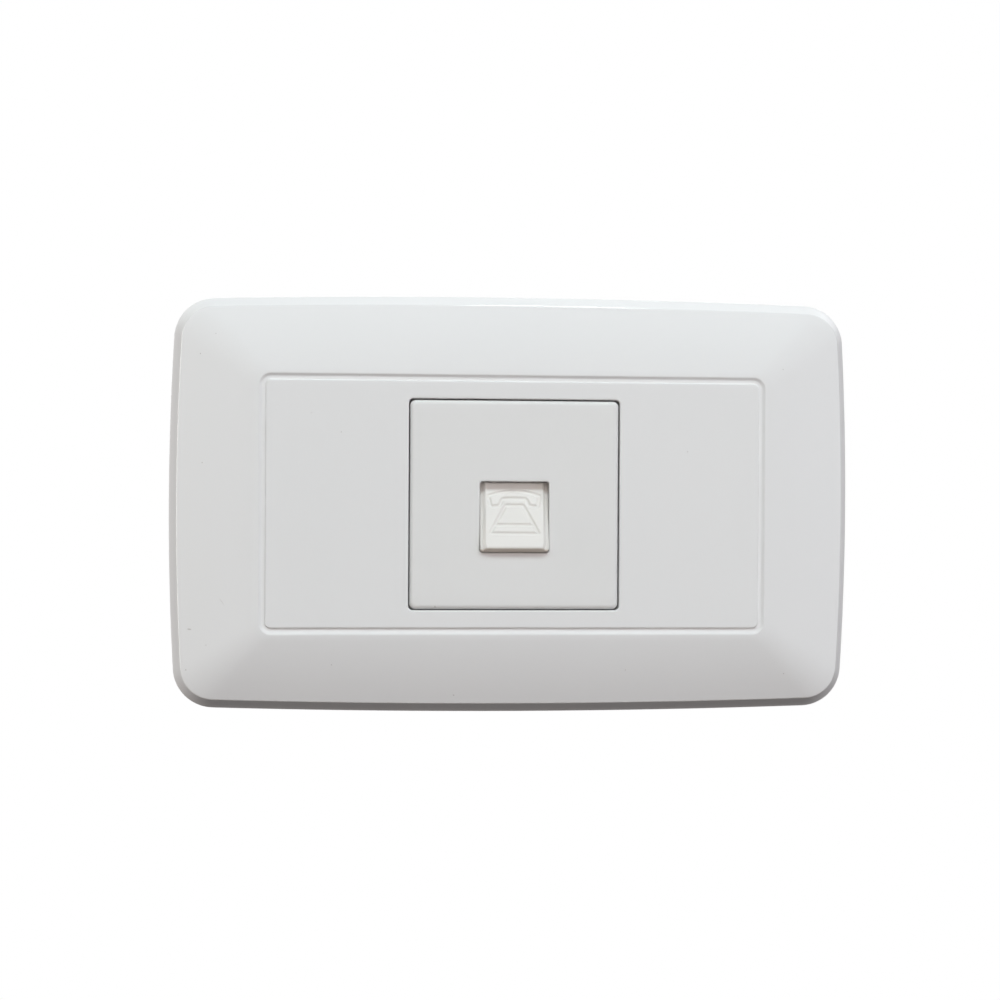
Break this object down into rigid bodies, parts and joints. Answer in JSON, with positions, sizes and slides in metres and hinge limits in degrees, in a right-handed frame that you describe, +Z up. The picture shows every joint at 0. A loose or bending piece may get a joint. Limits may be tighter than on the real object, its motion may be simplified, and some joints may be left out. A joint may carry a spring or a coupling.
{
  "type": "telephone wall socket",
  "caption": "Landscape white wall plate with a square telephone socket module, a sprung sliding dust shutter over the plug's mouth, and screw terminals behind.",
  "frame": {"origin": "on the wall plane, midway between the two box screws", "axes": "+X to the right as seen from the room, +Z up, -Y out of the wall towards the room, +Y into the wall box"},
  "size_m": [0.118, 0.0309, 0.072],
  "materials": {
    "cover_gloss": "glossy white moulded plastic",
    "face_satin": "fine satin white moulded plastic",
    "shutter_ivory": "smooth ivory white moulded plastic",
    "frame_plastic": "matt off-white moulded plastic",
    "body_plastic": "matt off-white moulded plastic",
    "jack_plastic": "matt black moulded plastic",
    "contact_gilt": "gilt spring bronze",
    "board_laminate": "green coated laminate",
    "terminal_plastic": "matt green moulded plastic",
    "clamp_brass": "plain brass",
    "screw_steel": "zinc-plated steel",
    "spring_steel": "bright spring wire"
  },
  "bodies": {
    "root": {"cover_plate": "cover_gloss", "mounting_frame": "frame_plastic", "module_face": "face_satin", "module_body": "body_plastic", "shutter_spring": "spring_steel", "jack_housing": "jack_plastic", "contact_wire_1": "contact_gilt", "contact_wire_2": "contact_gilt", "contact_wire_3": "contact_gilt", "contact_wire_4": "contact_gilt", "circuit_board": "board_laminate", "board_screw_1": "screw_steel", "board_screw_2": "screw_steel", "terminal_block": "terminal_plastic", "terminal_clamp_1": "clamp_brass", "terminal_clamp_2": "clamp_brass", "terminal_clamp_3": "clamp_brass", "terminal_clamp_4": "clamp_brass", "terminal_screw_1": "screw_steel", "terminal_screw_2": "screw_steel", "terminal_screw_3": "screw_steel", "terminal_screw_4": "screw_steel"},
    "shutter": {"shutter": "shutter_ivory"}
  },
  "joints": [
    {"name": "shutter_slide", "type": "slide", "parent": "root", "child": "shutter", "axis": [0, 0.309, 0.9511], "range_m": [0, 0.0096], "stiffness_N_per_m": 20, "deforming": ["shutter_spring"]}
  ]
}
